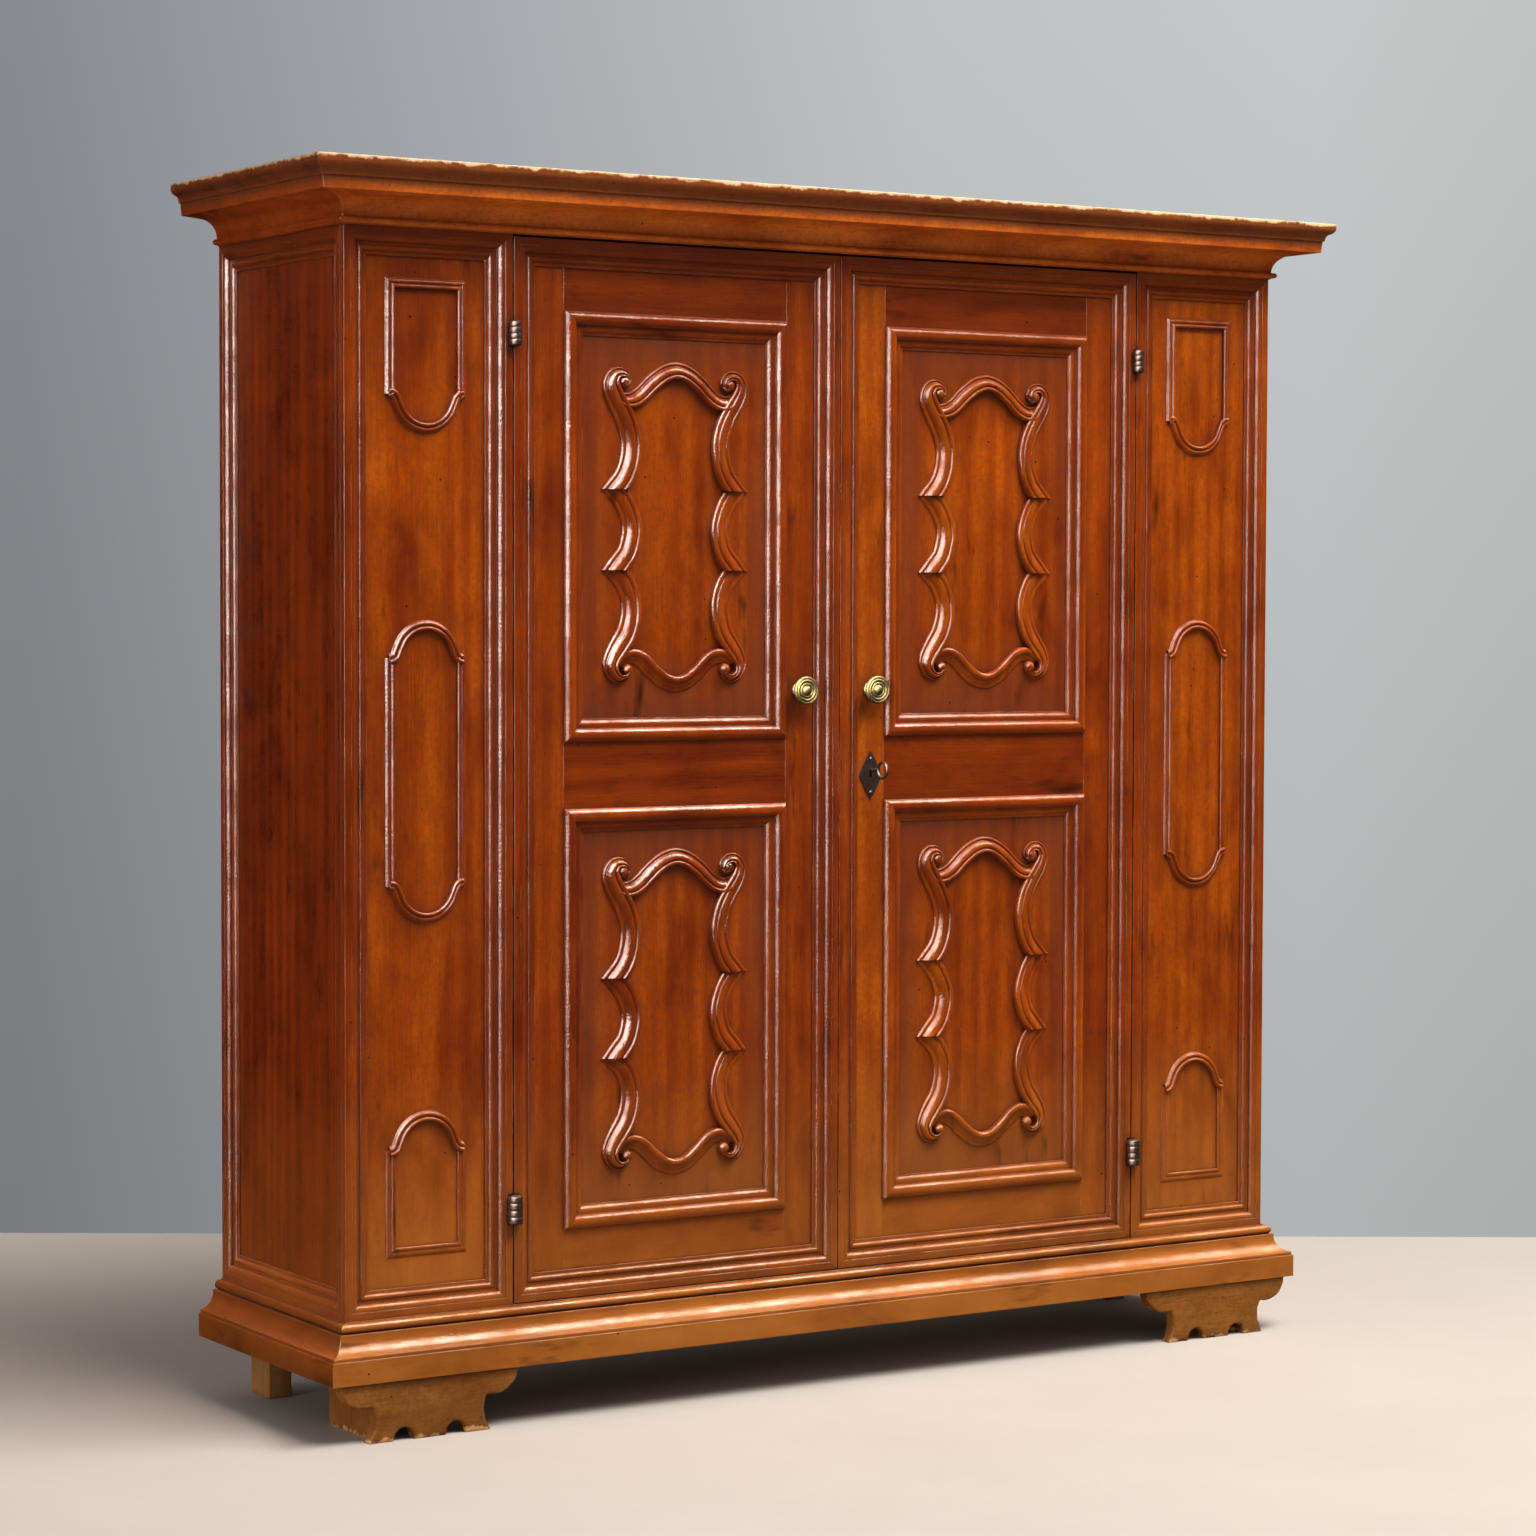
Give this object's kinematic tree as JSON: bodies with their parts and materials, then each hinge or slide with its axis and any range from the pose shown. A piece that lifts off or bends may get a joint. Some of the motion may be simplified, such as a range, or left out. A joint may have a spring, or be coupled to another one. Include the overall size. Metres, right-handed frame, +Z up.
{
  "type": "two-door armoire",
  "caption": "Tall walnut cupboard with framed carved doors, fixed side panels, moulded base and cornice, bracket feet, shelves, a keyed lock and slide bolts.",
  "frame": {"origin": "on the floor, under the middle of the whole box", "axes": "+Z up, the doors face -Y, +X to the right of someone who faces the doors"},
  "size_m": [2.117, 0.58, 2.1],
  "materials": {
    "walnut": "shellac polish, aged",
    "worn_walnut": "worn, chipped edges",
    "softwood": "unfinished, sawn and planed",
    "brass": "turned, aged",
    "iron": "forged, blackened"
  },
  "bodies": {
    "case": {"back_boards": "softwood", "base_rails": "softwood", "case_floor": "softwood", "case_top": "softwood", "cornice_rear_rail": "softwood", "foot_returns": "worn_walnut", "front_base": "walnut", "front_cornice": "walnut", "front_left_foot": "worn_walnut", "front_right_foot": "worn_walnut", "head_rail": "softwood", "hinge_pintles": "iron", "left_base": "walnut", "left_cornice": "walnut", "left_front_board": "walnut", "left_front_border": "walnut", "left_loop_ornaments": "walnut", "left_side": "walnut", "left_side_border": "walnut", "partition": "softwood", "rear_feet": "softwood", "right_base": "walnut", "right_cornice": "walnut", "right_front_board": "walnut", "right_front_border": "walnut", "right_loop_ornaments": "walnut", "right_side": "walnut", "right_side_border": "walnut", "shelf_cleats": "softwood", "shelves": "softwood"},
    "left_door": {"left_door_border": "walnut", "left_door_bottom_rail": "walnut", "left_door_carvings": "walnut", "left_door_hinge_knuckles": "iron", "left_door_hinge_stile": "walnut", "left_door_knob": "brass", "left_door_lock_rail": "walnut", "left_door_meeting_stile": "walnut", "left_door_panel_mouldings": "walnut", "left_door_panels": "walnut", "left_door_staples": "iron", "left_door_top_rail": "walnut"},
    "right_door": {"escutcheon": "iron", "lock_case": "iron", "right_door_border": "walnut", "right_door_bottom_rail": "walnut", "right_door_carvings": "walnut", "right_door_hinge_knuckles": "iron", "right_door_hinge_stile": "walnut", "right_door_knob": "brass", "right_door_lock_rail": "walnut", "right_door_meeting_stile": "walnut", "right_door_panel_mouldings": "walnut", "right_door_panels": "walnut", "right_door_top_rail": "walnut"},
    "key": {"key": "iron"},
    "lock_bolt": {"lock_bolt": "iron"},
    "upper_bolt": {"upper_bolt": "iron"},
    "lower_bolt": {"lower_bolt": "iron"}
  },
  "joints": [
    {"name": "left_door_hinge", "type": "hinge", "parent": "case", "child": "left_door", "pos_m": [-0.655, -0.208, 1.1], "axis": [0, 0, -1], "range_deg": [0, 170]},
    {"name": "right_door_hinge", "type": "hinge", "parent": "case", "child": "right_door", "pos_m": [0.655, -0.208, 1.1], "axis": [0, 0, 1], "range_deg": [0, 170]},
    {"name": "key_turn", "type": "hinge", "parent": "right_door", "child": "key", "pos_m": [0.0755, -0.185, 1.087], "axis": [0, -1, 0], "range_deg": [0, 360]},
    {"name": "lock_bolt_slide", "type": "slide", "parent": "right_door", "child": "lock_bolt", "axis": [-1, 0, 0], "range_m": [0, 0.016]},
    {"name": "upper_bolt_slide", "type": "slide", "parent": "left_door", "child": "upper_bolt", "axis": [0, 0, 1], "range_m": [0, 0.02]},
    {"name": "lower_bolt_slide", "type": "slide", "parent": "left_door", "child": "lower_bolt", "axis": [0, 0, -1], "range_m": [0, 0.02]}
  ],
  "couplings": [
    {"joint": "key_turn", "follows": "lock_bolt_slide", "rad_per_m": 392.69}
  ]
}
